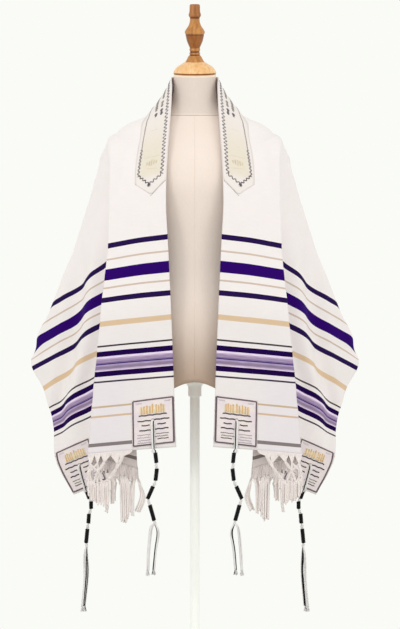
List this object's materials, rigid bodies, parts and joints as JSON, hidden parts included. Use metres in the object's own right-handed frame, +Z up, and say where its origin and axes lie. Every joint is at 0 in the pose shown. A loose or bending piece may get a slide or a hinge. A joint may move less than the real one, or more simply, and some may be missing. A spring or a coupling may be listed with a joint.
{
  "type": "tallit prayer shawl on limbless dress form",
  "caption": "White striped prayer shawl with fringed ends, corner tassels and an embroidered neckband, draped over the shoulders of a limbless dress form on a round-footed stand.",
  "frame": {"origin": "on the floor, under the middle of the round foot", "axes": "+Z up along the pole, -Y towards the front of the form, +X towards the wearer's left"},
  "size_m": [0.7508, 0.376, 1.615],
  "materials": {
    "woven_white": "matt woven wool, white with purple, lilac and gold stripes",
    "embroidered_band": "satin band with a stitched border",
    "patch_cloth": "stitched cloth patch",
    "fringe_yarn": "twisted off-white yarn",
    "tassel_cord": "black and white knotted cord",
    "form_linen": "tight linen cover over a hard form",
    "turned_beech": "turned and varnished",
    "white_enamel": "satin white paint"
  },
  "bodies": {
    "root": {"shawl": "woven_white", "atarah": "embroidered_band", "patch_front_left": "patch_cloth", "patch_front_right": "patch_cloth", "patch_side_left": "patch_cloth", "patch_side_right": "patch_cloth", "fringe_left": "fringe_yarn", "fringe_right": "fringe_yarn", "tzitzit_front_left": "tassel_cord", "tzitzit_front_right": "tassel_cord", "tzitzit_side_left": "tassel_cord", "tzitzit_side_right": "tassel_cord", "torso": "form_linen", "neck_cap": "turned_beech", "finial": "turned_beech", "socket": "white_enamel", "pole": "white_enamel", "base_collar": "white_enamel", "base": "white_enamel"}
  },
  "joints": []
}
